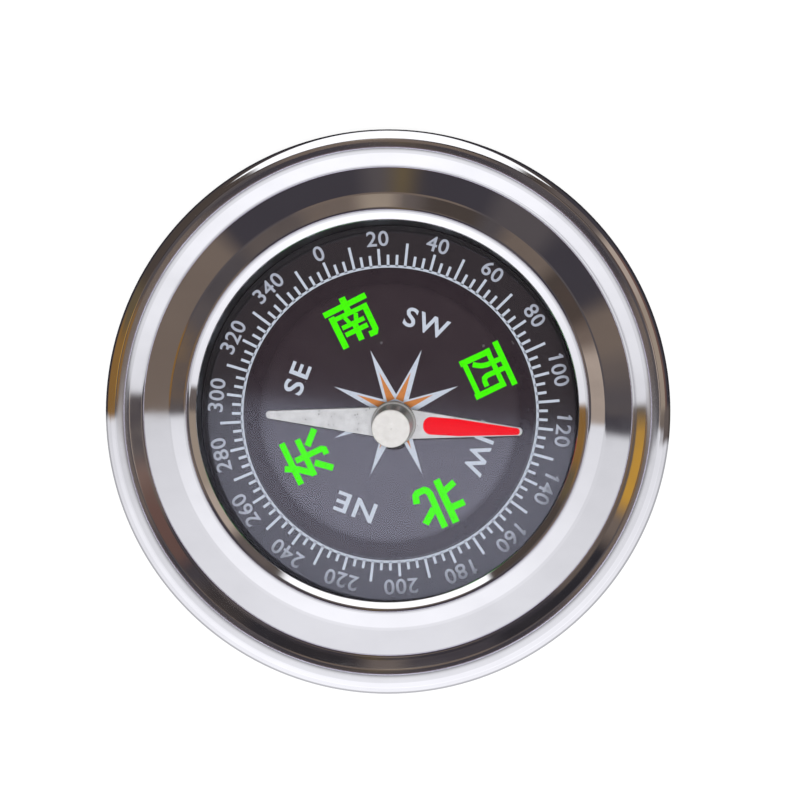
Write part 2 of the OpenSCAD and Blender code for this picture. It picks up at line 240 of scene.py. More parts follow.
# One broad soft lamp stands on the reader's side and does the rest of the lighting. Steel and glass
# don't mirror it, because they mirror the room.
lamp_level, lamp_spread, lamp_tilt = 0.97, math.radians(18), (math.radians(5), math.radians(2), 0)
lamp_data = bpy.data.lights.new("soft_lamp", "SUN")
lamp_data.energy = lamp_level * math.pi
lamp_data.angle = lamp_spread
lamp = bpy.data.objects.new("soft_lamp", lamp_data)
lamp.rotation_euler = lamp_tilt
lamp.visible_glossy = False
lamp.visible_transmission = False
scene.collection.objects.link(lamp)

# The floor is a plain white table top. The camera sees it white, with the compass's faint shadow, and
# a mirror shows the room's lower edge in it, as seen from the middle of the compass.
floor_half, middle_h = 6, 12 * mm
glow_level, matt_level = 0.72, 0.34
floor_mesh = bmesh.new()
bmesh.ops.create_grid(floor_mesh, x_segments=1, y_segments=1, size=floor_half)
floor_data = bpy.data.meshes.new("floor")
floor_mesh.to_mesh(floor_data)
floor_mesh.free()
floor = bpy.data.objects.new("floor", floor_data)
scene.collection.objects.link(floor)
floor_look = bpy.data.materials.new("table_top")
floor_look.use_nodes = True
tree = floor_look.node_tree
tree.nodes.clear()
path = linked(tree, "ShaderNodeLightPath").outputs
place = linked(tree, "ShaderNodeTexCoord").outputs["Object"]
away = linked(tree, "ShaderNodeVectorMath", {0: place, 1: (0, 0, -middle_h)}, operation="ADD")
away = linked(tree, "ShaderNodeVectorMath", {0: away.outputs[0]}, operation="NORMALIZE").outputs[0]
glow = mixed(tree, path["Is Camera Ray"], room_colour(tree, away), (glow_level,) * 3)
glow = mixed(tree, bounced(tree, path), glow, black)
shine = linked(tree, "ShaderNodeEmission", {"Color": glow, "Strength": 1})
matt = linked(tree, "ShaderNodeBsdfDiffuse", {"Color": (*(matt_level,) * 3, 1)})
both = linked(tree, "ShaderNodeAddShader", {0: shine.outputs[0], 1: matt.outputs[0]})
lit = maths(tree, "MAXIMUM", path["Is Camera Ray"], bounced(tree, path))
table = linked(tree, "ShaderNodeMixShader", {0: lit, 1: shine.outputs[0], 2: both.outputs[0]})
linked(tree, "ShaderNodeOutputMaterial", {"Surface": table.outputs[0]})
floor_data.materials.append(floor_look)


# The top shell is one round blank of 0.6 mm stainless steel, drawn and spun: a lip over the edge of
# the glass, a flank, a wide cone, a groove, a rounded rim, the straight side and a hem rolled in
# under the back. It is polished like a mirror, with faint turning lines and finger marks.
sheet = 0.6 * mm
lip_r, bead_mid_r, flank_foot_r = 25.3 * mm, 26.6 * mm, 28.9 * mm
crease_r, crest_r, case_r = 32.5 * mm, 34.9 * mm, 37.5 * mm
lip_foot_z, case_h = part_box("crystal_gasket")[1].z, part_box("bezel")[1].z
hem_z, hem_end_r = 2 * mm, 32.9 * mm
lip_edge_round, bead_round, flank_foot_round, crease_round = 0.3 * mm, 0.65 * mm, 1.6 * mm, 0.5 * mm
rim_round, rim_out_round, shoulder_round, hem_round = 1.2 * mm, 2.1 * mm, 2.2 * mm, 2.6 * mm
flank_angle, cone_angle, groove_angle = math.radians(33), math.radians(16), math.radians(37)
lip_angle, shoulder_angle = math.radians(42), math.radians(38)
lip_top_r = bead_mid_r - bead_round * math.tan(lip_angle / 2)
flank_top_r = bead_mid_r + bead_round * math.tan(flank_angle / 2)
rim_corner_r = crest_r - rim_round * math.tan(groove_angle / 2)
lip_edge_z = case_h - (lip_top_r - lip_r) * math.tan(lip_angle)
flank_foot_z = case_h - (flank_foot_r - flank_top_r) * math.tan(flank_angle)
crease_z = flank_foot_z - (crease_r - flank_foot_r) * math.tan(cone_angle)
rim_z = crease_z + (rim_corner_r - crease_r) * math.tan(groove_angle)
shoulder_top_r = crest_r + rim_out_round * math.tan(shoulder_angle / 2)
shoulder_z = rim_z - (case_r - shoulder_top_r) * math.tan(shoulder_angle)
top_shell_corners = [
    (lip_r, lip_foot_z, 0),
    (lip_r, lip_edge_z, lip_edge_round),
    (lip_top_r, case_h, bead_round),
    (flank_top_r, case_h, bead_round),
    (flank_foot_r, flank_foot_z, flank_foot_round),
    (crease_r, crease_z, crease_round),
    (rim_corner_r, rim_z, rim_round),
    (shoulder_top_r, rim_z, rim_out_round),
    (case_r, shoulder_z, shoulder_round),
    (case_r, hem_z, hem_round),
    (hem_end_r, hem_z, 0),
]
# Points nearer to each other than this become one
merge_gap = 0.001 * mm


def offset_corners(corners, distance):
    """Moves a section's line sideways by an even distance, and fits its roundings to that."""
    places = [Vector((radius, height)) for radius, height, _ in corners]
    aside = [(b - a).normalized().orthogonal() for a, b in zip(places, places[1:])]
    moved = []
    for index, (place, (_, _, rounding)) in enumerate(zip(places, corners)):
        before = aside[max(index - 1, 0)]
        after = aside[min(index, len(aside) - 1)]
        middle = (before + after).normalized()
        turn = math.copysign(1, before.cross(after))
        spot = place + middle * distance / middle.dot(after)
        moved.append((spot.x, spot.y, max(0, rounding - turn * distance) if rounding else 0))
    return moved


def turned(name, corners, closed, turns=192, widest_edge=3 * mm, bend_step=3.5):
    """Spins a section through (radius, height, rounding) corners about the axis. A rounding has one
    facet for every bend_step of degrees."""
    margin = 0.02 * mm
    body = bmesh.new()
    points = [body.verts.new((radius, 0, height)) for radius, height, _ in corners]
    for first, second in zip(points, points[1:]):
        body.edges.new((first, second))
    if closed:
        body.edges.new((points[-1], points[0]))
    for point, (_, _, rounding) in zip(points, corners):
        if rounding:
            bend = point.calc_edge_angle()
            facets = max(2, math.ceil(math.degrees(bend) / bend_step))
            bmesh.ops.bevel(body, geom=[point], offset=rounding * math.tan(bend / 2), segments=facets,
                            offset_type="OFFSET", profile=0.5, affect="VERTICES", material=-1)
    bmesh.ops.remove_doubles(body, verts=body.verts, dist=merge_gap)
    for edge in [e for e in body.edges if e.calc_length() > 10 * margin]:
        # A narrow strip beside each corner keeps the shading of the face between them flat
        for corner in edge.verts[:]:
            strip = bmesh.utils.edge_split(edge, corner, margin / edge.calc_length())[0]
            edge = max(edge, strip, key=lambda e: e.calc_length())
        cuts = math.ceil(edge.calc_length() / widest_edge) - 1
        if cuts:
            bmesh.ops.subdivide_edges(body, edges=[edge], cuts=cuts)
    bmesh.ops.spin(body, geom=body.verts[:] + body.edges[:], cent=(0, 0, 0), axis=(0, 0, 1),
                   angle=math.tau, steps=turns, use_merge=True)
    bmesh.ops.remove_doubles(body, verts=body.verts, dist=merge_gap)
    bmesh.ops.recalc_face_normals(body, faces=body.faces)
    return finished(name, body)


def finished(name, body, smooth=True):
    """Makes the mesh an object at the origin."""
    data = bpy.data.meshes.new(name)
    for face in body.faces:
        face.smooth = smooth
    body.to_mesh(data)
    body.free()
    piece = bpy.data.objects.new(name, data)
    scene.collection.objects.link(piece)
    return piece


def finish(name, colour, roughness, metallic=0.0, **sockets):
    """A new material with a Principled shader, and its tree, shader and Object coordinates."""
    look = bpy.data.materials.new(name)
    look.use_nodes = True
    tree = look.node_tree
    shader = tree.nodes["Principled BSDF"]
    shader.inputs["Base Color"].default_value = (*colour, 1)
    shader.inputs["Roughness"].default_value = roughness
    shader.inputs["Metallic"].default_value = metallic
    for socket, value in sockets.items():
        shader.inputs[socket.replace("_", " ")].default_value = value
    return look, tree, shader, linked(tree, "ShaderNodeTexCoord").outputs["Object"]


def noise(tree, place, scale, detail=2.0, stretch=(1, 1, 1)):
    """A cloudy pattern around one half, finer as the scale grows."""
    moved = linked(tree, "ShaderNodeMapping", {"Vector": place, "Scale": stretch}).outputs[0]
    inputs = {"Vector": moved, "Scale": scale, "Detail": detail}
    return linked(tree, "ShaderNodeTexNoise", inputs).outputs[0]


def ringed(tree, place, centre=(0, 0)):
    """Coordinates that run with the lathe: distance from the axis, slow turn about it, and height."""
    apart = linked(tree, "ShaderNodeSeparateXYZ", {0: place}).outputs
    x = maths(tree, "SUBTRACT", apart[0], centre[0])
    y = maths(tree, "SUBTRACT", apart[1], centre[1])
    squares = [maths(tree, "MULTIPLY", value, value) for value in (x, y)]
    radius = maths(tree, "SQRT", maths(tree, "ADD", *squares))
    # The small addition keeps the axis itself from a division by nothing
    around = maths(tree, "DIVIDE", x, maths(tree, "ADD", radius, 0.01 * mm))
    around = maths(tree, "MULTIPLY", around, 2 * mm)
    return linked(tree, "ShaderNodeCombineXYZ", {0: radius, 1: around, 2: apart[2]}).outputs[0]


def bumped(tree, shader, height, strength, distance):
    """Gives a finish its fine relief."""
    inputs = {"Height": height, "Strength": strength, "Distance": distance}
    tree.links.new(linked(tree, "ShaderNodeBump", inputs).outputs[0], shader.inputs["Normal"])


polished, tree, shader, place = finish("polished_steel_look", (0.7, 0.7, 0.715), 0.06, metallic=1.0)
smear = noise(tree, place, 130, 4, (1, 1.6, 1))
lines = noise(tree, ringed(tree, place), 5200, 2, (1, 0.4, 1))
smeared = ranged(tree, smear, 0.045, 0.085, 0.42, 0.7)
steel_roughness = maths(tree, "ADD", smeared, ranged(tree, lines, 0, 0.02))
# The crest of the rim is rubbed a little duller
rubbed_span, rubbed_fade, rubbed_roughness = (34.3 * mm, 35.8 * mm), 0.4 * mm, 0.1
out_from_axis = linked(tree, "ShaderNodeSeparateXYZ", {0: ringed(tree, place)}).outputs[0]
rubbed = between(tree, out_from_axis, rubbed_span, rubbed_fade)
rubbed = maths(tree, "MULTIPLY", rubbed, rubbed_roughness)
steel_roughness = maths(tree, "ADD", steel_roughness, rubbed)
tree.links.new(steel_roughness, shader.inputs["Roughness"])
clean_steel, smeared_steel = (0.715, 0.713, 0.725), (0.675, 0.672, 0.685)
tint = mixed(tree, ranged(tree, smear, 0, 1, 0.35, 0.75), clean_steel, smeared_steel)
tree.links.new(tint, shader.inputs["Base Color"])
waves = maths(tree, "ADD", noise(tree, place, 190, 1), maths(tree, "MULTIPLY", lines, 0.02))
bumped(tree, shader, waves, 1, 0.006 * mm)

inner_corners = offset_corners(top_shell_corners, -sheet)
top_shell = turned("top_shell", top_shell_corners + inner_corners[::-1], closed=True)
top_shell.data.materials.append(polished)
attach(top_shell, "case")
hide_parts("bezel")

# The back shell is a shallow pan drawn from the same sheet. Its flange lies on the hem, and its flat
# bottom is what the compass stands on.
base_r, back_wall_r, back_flange_r, flange_z = 31 * mm, 32.2 * mm, 34.9 * mm, 2.6 * mm
base_round, flange_round = 1.5 * mm, 0.5 * mm
back_shell_corners = [
    (0, 0, 0),
    (base_r, 0, base_round),
    (back_wall_r, flange_z, flange_round),
    (back_flange_r, flange_z, 0),
]
back_inner = offset_corners(back_shell_corners, sheet)
back_pan = turned("back_pan", back_shell_corners + back_inner[::-1], closed=False, bend_step=8)
back_pan.data.materials.append(polished)
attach(back_pan, "case")
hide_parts("back_shell")

# The glass is a flat disc with ground edges. A channel of black rubber lies round its edge, and the
# well presses both up against the lip of the shell.
clear_glass, greener_glass = (0.985, 0.995, 0.99), (0.965, 0.98, 0.975)
glass_look, tree, shader, place = finish("clear_glass_look", clear_glass, 0.0, IOR=1.2,
                                         Transmission_Weight=1.0)
glass_tint = mixed(tree, noise(tree, place, 60, 2), clear_glass, greener_glass)
tree.links.new(glass_tint, shader.inputs["Base Color"])
clear = linked(tree, "ShaderNodeBsdfTransparent", {"Color": (0.96, 0.97, 0.965, 1)})
is_shadow = linked(tree, "ShaderNodeLightPath").outputs["Is Shadow Ray"]
either = linked(tree, "ShaderNodeMixShader", {0: is_shadow, 1: shader.outputs[0], 2: clear.outputs[0]})
tree.links.new(either.outputs[0], tree.nodes["Material Output"].inputs["Surface"])
nodes["crystal"].data.materials[0] = glass_look

rubber, tree, shader, place = finish("black_rubber_look", (0.018, 0.018, 0.02), 0.55)
tree.links.new(ranged(tree, noise(tree, place, 900, 3), 0.45, 0.65), shader.inputs["Roughness"])
bumped(tree, shader, noise(tree, place, 2500, 2), 0.3, 0.01 * mm)
nodes["crystal_gasket"].data.materials[0] = rubber

# The well is moulded in black plastic. It stands on a ring of pressed felt, which presses it up
# against the glass, and its floor carries the dial, a disc printed satin black.
moulded, tree, shader, place = finish("black_plastic_look", (0.012, 0.012, 0.014), 0.45)
grain = noise(tree, place, 1800, 3)
tree.links.new(ranged(tree, grain, 0.4, 0.6), shader.inputs["Roughness"])
bumped(tree, shader, grain, 0.25, 0.015 * mm)
nodes["dial_cup"].data.materials[0] = moulded

felt, tree, shader, place = finish("packing_felt_look", (0.3, 0.25, 0.2), 0.95)
fibres = noise(tree, place, 1500, 6, (1, 1, 3))
tree.links.new(mixed(tree, fibres, (0.22, 0.18, 0.14), (0.38, 0.33, 0.27)), shader.inputs["Base Color"])
bumped(tree, shader, fibres, 0.6, 0.1 * mm)
nodes["cup_packing"].data.materials[0] = felt

# The varnish is at its fullest inside an edge of its own, and a little fuller again under the ticks
varnish_edge, varnish_fade = 17.2 * mm, 0.6 * mm
varnish_inside, varnish_outside, varnish_under_ticks = 1, 0.5, 0.2
tick_zone, tick_zone_fade = 19.6 * mm, 0.15 * mm
ground_dark, ground_pale = (0.018, 0.012, 0.017), (0.024, 0.017, 0.022)
ground_outside = (0.02, 0.018, 0.021)
dust_share, dust_colour = 0.3, (0.3, 0.29, 0.31)
dial_black, tree, shader, place = finish("dial_black_look", (0.021, 0.015, 0.02), 0.5, Coat_IOR=1.9,
                                         Coat_Roughness=0.04, Specular_IOR_Level=0.0)
out_from_middle = linked(tree, "ShaderNodeSeparateXYZ", {0: ringed(tree, place)}).outputs[0]
outside = step_up(tree, out_from_middle, tick_zone, tick_zone_fade)
mottle = noise(tree, place, 420, 4)
ground = mixed(tree, ranged(tree, mottle, 0, 1, 0.3, 0.7), ground_dark, ground_pale)
ground = mixed(tree, outside, ground, ground_outside)
dust = linked(tree, "ShaderNodeTexVoronoi", {"Vector": place, "Scale": 420, "Randomness": 1}).outputs
speck_size = ranged(tree, noise(tree, place, 700, 1), 0.0, 0.12, 0.55, 0.8)
speck = maths(tree, "LESS_THAN", dust["Distance"], speck_size)
ground = mixed(tree, maths(tree, "MULTIPLY", speck, dust_share), ground, dust_colour)
tree.links.new(ground, shader.inputs["Base Color"])
tree.links.new(ranged(tree, mottle, 0.45, 0.6), shader.inputs["Roughness"])
varnish = step_up(tree, out_from_middle, varnish_edge, varnish_fade)
varnish = ranged(tree, varnish, varnish_inside, varnish_outside)
varnish = maths(tree, "ADD", varnish, maths(tree, "MULTIPLY", outside, varnish_under_ticks))
tree.links.new(varnish, shader.inputs["Coat Weight"])
nodes["dial_plate"].data.materials[0] = dial_black

# The dial's print is ink laid on the disc: a scale circle with a tick every 3 1/3 degrees, longer at
# every tenth degree, and numbers every 20 degrees that read from the middle.
dial_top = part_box("dial_plate")[1].z
ink_h, thin_ink = 0.03 * mm, 0.82
zero_mark = -24.0
print_centre = Vector((0.033, -0.087, 0)) * mm
ink_ticks_colour, ink_number_colour = (0.578, 0.61, 0.716), (0.44, 0.455, 0.545)


def ink(name, colour):
    """Matt printing ink, a little uneven where the screen laid it thinner."""
    look, tree, shader, place = finish(name, colour, 0.6, Specular_IOR_Level=0.05)
    cover = noise(tree, place, 2600, 3)
    thin = tuple(c * thin_ink for c in colour)
    uneven = mixed(tree, ranged(tree, cover, 0, 1, 0.55, 0.75), colour, thin)
    tree.links.new(uneven, shader.inputs["Base Color"])
    tree.links.new(ranged(tree, cover, 0.5, 0.7), shader.inputs["Roughness"])
    return look


def clockwise(degrees):
    """A turn about the axis that takes +Y to this mark, clockwise seen from above."""
    return Matrix.Rotation(-math.radians(degrees), 4, "Z")


def printed(name, body, look):
    """Lays a print on the dial."""
    bmesh.ops.transform(body, matrix=Matrix.Translation(Vector((0, 0, dial_top))), verts=body.verts)
    piece = finished(name, body, smooth=False)
    piece.data.materials.append(look)
    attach(piece, "case")


def ink_bar(body, low, high, width, place):
    """A straight stroke of ink along +Y, from low to high."""
    size = Matrix.Diagonal((width, high - low, ink_h, 1))
    middle = Matrix.Translation(Vector((0, (low + high) / 2, ink_h / 2)))
    bmesh.ops.create_cube(body, size=1, matrix=place @ middle @ size)


scale_r, line_w, tick_w = 19.955 * mm, 0.33 * mm, 0.36 * mm
circle_steps, tick_count = 180, 108
# The ticks are a little shorter at the foot of the picture than at its head
short_tick, medium_tick, long_tick, tick_loss = 1.57 * mm, 2.4 * mm, 3.2 * mm, 0.2 * mm
# Ticks and numbers were laid out from points a hair off the circle's middle, so they slip by some
# degrees: everywhere, towards +X and towards +Y.
tick_slip, number_slip = (0.23, -0.66, -0.21), (0.1, 0.3, -0.2)


def slipped(degrees, slip):
    """Where a mark that was meant to be at so many degrees really is."""
    everywhere, towards_x, towards_y = slip
    turn = math.radians(degrees)
    return degrees + everywhere + towards_x * math.sin(turn) + towards_y * math.cos(turn)


scale_marks = bmesh.new()
ring_section = [scale_marks.verts.new((scale_r + x * line_w / 2, 0, z * ink_h))
                for x, z in ((-1, 0), (1, 0), (1, 1), (-1, 1))]
for first, second in zip(ring_section, ring_section[1:] + ring_section[:1]):
    scale_marks.edges.new((first, second))
bmesh.ops.spin(scale_marks, geom=scale_marks.verts[:] + scale_marks.edges[:], cent=(0, 0, 0),
               axis=(0, 0, 1), angle=math.tau, steps=circle_steps, use_merge=True)
bmesh.ops.remove_doubles(scale_marks, verts=scale_marks.verts, dist=merge_gap)
bmesh.ops.recalc_face_normals(scale_marks, faces=scale_marks.faces)
for mark in range(tick_count):
    tens, between_tens = divmod(mark, 3)
    length = short_tick if between_tens else long_tick if tens % 2 else medium_tick
    azimuth = slipped(zero_mark + mark * 360 / tick_count, tick_slip)
    length -= tick_loss * (1 - math.cos(math.radians(azimuth)))
    ink_bar(scale_marks, scale_r, scale_r + length, tick_w, clockwise(azimuth))
bmesh.ops.transform(scale_marks, matrix=Matrix.Translation(print_centre), verts=scale_marks.verts)
ink_marks = ink("ink_marks", ink_ticks_colour)
printed("scale_marks", scale_marks, ink_marks)


def raised(body, faces, height):
    """Pulls flat faces straight up into a solid."""
    pulled = bmesh.ops.extrude_face_region(body, geom=faces)["geom"]
    top = [v for v in pulled if isinstance(v, bmesh.types.BMVert)]
    bmesh.ops.translate(body, vec=(0, 0, height), verts=top)


def pen_stroke(body, points, width, height):
    """A stroke of even width along the points, mitred where it bends."""
    line = [(x, y, 0) for x, y in points]
    edge = offset_corners(line, width / 2) + offset_corners(line, -width / 2)[::-1]
    raised(body, [body.faces.new([body.verts.new(corner) for corner in edge])], height)


def add_glyph(body, glyph, matrix):
    """Adds what was drawn on its own to the print, in its place."""
    bmesh.ops.transform(glyph, matrix=matrix, verts=glyph.verts)
    shape = bpy.data.meshes.new("glyph")
    glyph.to_mesh(shape)
    glyph.free()
    body.from_mesh(shape)
    bpy.data.meshes.remove(shape)


def lettering(body, words, height, matrix, weight, spacing, stretch):
    """Adds words as raised ink, centred on the matrix's origin, and returns how wide they are."""
    text = bpy.data.curves.new("lettering", "FONT")
    text.body = words
    text.align_x = "CENTER"
    text.space_character = spacing
    text.resolution_u = 4
    text.offset = weight
    text.extrude = 0.5
    holder = bpy.data.objects.new("lettering", text)
    scene.collection.objects.link(holder)
    drawn = holder.evaluated_get(bpy.context.evaluated_depsgraph_get())
    shape = bpy.data.meshes.new_from_object(drawn)
    bpy.data.objects.remove(holder)
    bpy.data.curves.remove(text)
    across, up = zip(*(v.co.xy for v in shape.vertices))
    left, right, low, high = min(across), max(across), min(up), max(up)
    size = height / (high - low)
    to_middle = Matrix.Translation((-(left + right) / 2, -(low + high) / 2, 0.5))
    shape.transform(Matrix.Diagonal((size * stretch, size, ink_h, 1)) @ to_middle)
    shape.transform(matrix)
    body.from_mesh(shape)
    bpy.data.meshes.remove(shape)
    return (right - left) * size * stretch


number_r, number_h = 23.53 * mm, 2.08 * mm
number_centre = Vector((0.05, 0.12, 0)) * mm
# A one has a slanting flag at its head: where it starts from the number's upper left corner, how
# far it slants, and its width. Its ink is a hair lower, so that the two tops don't share a plane.
flag_start, flag_slant = (0.2 * mm, 0.12 * mm), (0.42 * mm, 0.4 * mm)
flag_w, flag_h = 0.24 * mm, 0.9 * ink_h
glyph_gap = 0.0005 * mm
numbers = bmesh.new()
for degrees in range(0, 360, 20):
    spot = clockwise(slipped(zero_mark + degrees, number_slip)) @ Matrix.Translation((0, number_r, 0))
    spot = Matrix.Translation(number_centre) @ spot
    digits = str(degrees)
    width = lettering(numbers, digits, number_h, spot, weight=0.012, spacing=1.06, stretch=1.05)
    if digits.startswith("1"):
        flag = bmesh.new()
        head = (flag_start[0] - width / 2, number_h / 2 - flag_start[1])
        foot = (head[0] - flag_slant[0], head[1] - flag_slant[1])
        pen_stroke(flag, [head, foot], flag_w, flag_h)
        add_glyph(numbers, flag, spot)
bmesh.ops.remove_doubles(numbers, verts=numbers.verts, dist=glyph_gap)
bmesh.ops.recalc_face_normals(numbers, faces=numbers.faces)
printed("scale_numbers", numbers, ink("ink_numbers", ink_number_colour))

# Inside the circle stand the half winds in roman letters and the four winds as green characters,
# all with their tops outwards.
letter_r, letter_h = 13.4 * mm, 2.7 * mm
# Each pair's letters, and how far it lies to the right of its place and further in, in millimetres
half_winds = [("SW", 0.25, 0.2), ("NW", 0, 0.25), ("NE", -0.15, 0), ("SE", 0, 0)]
letters = bmesh.new()
for quarter, (pair, aside, inward) in enumerate(half_winds):
    moved_in = Matrix.Translation((aside * mm, letter_r - inward * mm, 0))
    spot = Matrix.Translation(print_centre) @ (clockwise(zero_mark + 45 + 90 * quarter) @ moved_in)
    stretch = 1.14 if pair.endswith("E") else 1.06
    lettering(letters, pair, letter_h, spot, weight=0.018, spacing=1.16, stretch=stretch)
bmesh.ops.remove_doubles(letters, verts=letters.verts, dist=glyph_gap)
printed("half_winds", letters, ink_marks)

# The green characters are drawn with a broad pen on a grid: each stroke's width and its points
grid = 0.268 * mm
character_middle = Vector((0.866, 0.719, 0)) * mm
south = [
    (3.4, (0.2, 12.2), (0.3, 4.6)),
    (3, (-11.8, 7.4), (11.8, 8.5)),
    (3.2, (-8.7, 5.2), (-8, -12.2)),
    (2.4, (-10.2, 3.2), (10.6, 3.8)),
    (3, (9.1, 5), (9.5, -8.9), (8.6, -10.4), (5.6, -10.4)),
    (2, (-2.5, 2.3), (-1.3, -1.1)),
    (2.2, (3.5, 2.3), (2.4, -1.1)),
    (2.3, (-5.8, -2.1), (6.5, -1.8)),
    (2.5, (-5.6, -6), (6.7, -5.6)),
    (3, (0.9, -0.8), (0.9, -11.4)),
]
west = [
    (3, (-12, 9.5), (12, 9.9)),
    (3, (-8.7, 5.6), (-8.5, -11.3)),
    (3, (9.3, 5.9), (9.8, -10.9)),
    (2.6, (-10.3, 4.1), (10.8, 4.6)),
    (2.6, (-8.6, -9.2), (9.6, -8.9)),
    (2.6, (-2.9, 9), (-2.9, 0.9), (-3.5, -1.6), (-4.5, -3.5), (-5.9, -5.4)),
    (2.6, (2.1, 9), (2.1, -1.1), (2.8, -2.8), (4.4, -3.3), (7.1, -3.3)),
]
north = [
    (3.6, (-4, 11.5), (-3.6, -12.2)),
    (3.4, (-12, 3.7), (-5, 3.7)),
    (3.2, (-4.9, -5.3), (-11.4, -7.5)),
    (3.3, (2.1, 11.5), (2.2, -7), (2.8, -8.8), (4.1, -9.9), (7.9, -9.9), (9.3, -8.9), (10.4, -5)),
    (3.5, (3.4, 0.6), (10.4, 6)),
]
east = [
    (3.1, (-11.9, 7.3), (10.9, 8)),
    (3.1, (-1.5, 11.8), (-4.4, 5.6), (-9.1, -0.4)),
    (3, (-10.5, -0.7), (9.6, 0)),
    (3, (0, 5.1), (0.4, -9.2), (-0.4, -10.5), (-3.1, -10.5)),
    (3.2, (-4.7, -3.4), (-10.8, -10.8)),
    (3.2, (4.5, -3.4), (11, -10)),
]
# Each character's strokes, and how far it lies to the right and out from the middle, in millimetres
four_winds = [(south, -0.7, 13.34), (west, 0.45, 13.3), (north, -0.07, 14.34), (east, -1.04, 13.92)]
# Each stroke lies a hair higher than the one before, as wet ink does where strokes cross
stroke_rise = 0.001 * mm
characters = bmesh.new()
for quarter, (strokes, aside, out) in enumerate(four_winds):
    glyph = bmesh.new()
    for layer, (width, *points) in enumerate(strokes):
        pen_stroke(glyph, points, width, (ink_h + layer * stroke_rise) / grid)
    spot = clockwise(zero_mark + 90 * quarter) @ Matrix.Translation((aside * mm, out * mm, 0))
    add_glyph(characters, glyph, Matrix.Translation(character_middle) @ spot @ Matrix.Scale(grid, 4))
bmesh.ops.recalc_face_normals(characters, faces=characters.faces)
printed("four_winds", characters, ink("ink_green", (0.065, 0.956, 0.002)))

# The star is printed in white with eight long points. In each lies an orange dart, which was printed
# after it and a little out of register.
star_centre = Vector((0.9, 0.16, 0)) * mm
dart_centre = star_centre + Vector((-0.14, 0.2, 0)) * mm
star_turn = -22.7
star_tip_r, star_notch_r = 9.05 * mm, 2.4 * mm
dart_tip_r, dart_foot_r, dart_foot_w, dart_h = 5.6 * mm, 1.5 * mm, 1.12 * mm, 1.6 * ink_h


def star_ray(degrees, corners):
    """Places corners of a ray that points along +Y at that many degrees clockwise."""
    return [clockwise(star_turn + degrees) @ Vector((x, y, 0)) for x, y in corners]


def star_print(name, outlines, centre, height, look):
    """Prints one colour of the star."""
    body = bmesh.new()
    flats = [body.faces.new([body.verts.new(corner) for corner in outline]) for outline in outlines]
    raised(body, flats, height)
    bmesh.ops.recalc_face_normals(body, faces=body.faces)
    bmesh.ops.transform(body, matrix=Matrix.Translation(centre), verts=body.verts)
    printed(name, body, look)


notch = (-star_notch_r * math.sin(math.pi / 8), star_notch_r * math.cos(math.pi / 8))
star_outline = [corner for ray in range(8) for corner in star_ray(-45 * ray, [(0, star_tip_r), notch])]
dart = [(0, dart_tip_r), (-dart_foot_w / 2, dart_foot_r), (dart_foot_w / 2, dart_foot_r)]
star_print("star", [star_outline], star_centre, ink_h, ink_marks)
star_print("star_core", [star_ray(45 * ray, dart) for ray in range(8)], dart_centre, dart_h,
           ink("ink_orange", (0.6, 0.22, 0.07)))

# The pivot is a turned brass boss, riveted through dial and floor, with a hardened steel pin ground
# to a point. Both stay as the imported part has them.
pin_low, pin_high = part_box("pivot_pin")
pin_tip = Vector(((pin_low.x + pin_high.x) / 2, (pin_low.y + pin_high.y) / 2, pin_high.z))
brass, tree, shader, place = finish("pivot_brass_look", (0.78, 0.6, 0.3), 0.28, metallic=1.0)
turning = noise(tree, ringed(tree, place, pin_tip), 6000, 2)
tree.links.new(ranged(tree, turning, 0.2, 0.4), shader.inputs["Roughness"])
bumped(tree, shader, turning, 0.5, 0.01 * mm)
nodes["pivot_boss"].data.materials[0] = brass
pin_steel, tree, shader, place = finish("pin_steel_look", (0.72, 0.72, 0.73), 0.2, metallic=1.0)
ground_lines = noise(tree, place, 3000, 2, (1, 1, 0.2))
tree.links.new(ranged(tree, ground_lines, 0.15, 0.3), shader.inputs["Roughness"])
nodes["pivot_pin"].data.materials[0] = pin_steel

# The needle is stamped from 0.4 mm magnet steel and plated matt silver. It leans on its point as
# the photograph shows it, so its own frame sits on the pin's tip: +X to the painted end.
needle_roll, needle_dip, needle_heading = 11, -3, -4
lean_angles = [math.radians(angle) for angle in (needle_roll, needle_dip, needle_heading)]
lean = Euler(lean_angles).to_matrix().to_4x4()
on_point = Matrix.Translation(pin_tip) @ lean
blade_top, blade_edge_round = -2.4 * mm, 0.05 * mm
same_face, rim_bend = math.radians(1), math.radians(60)
blade_mesh = bmesh.new()
blade_mesh.from_mesh(nodes["needle_blade"].data)
bmesh.ops.remove_doubles(blade_mesh, verts=blade_mesh.verts, dist=merge_gap)
bmesh.ops.dissolve_limit(blade_mesh, angle_limit=same_face, verts=blade_mesh.verts,
                         edges=blade_mesh.edges)
rims = [e for e in blade_mesh.edges if len(e.link_faces) == 2 and e.calc_face_angle() > rim_bend]
bmesh.ops.bevel(blade_mesh, geom=rims, offset=blade_edge_round, offset_type="OFFSET", segments=2,
                profile=0.5, affect="EDGES", material=-1, clamp_overlap=True)
blade = finished("blade", blade_mesh, smooth=False)

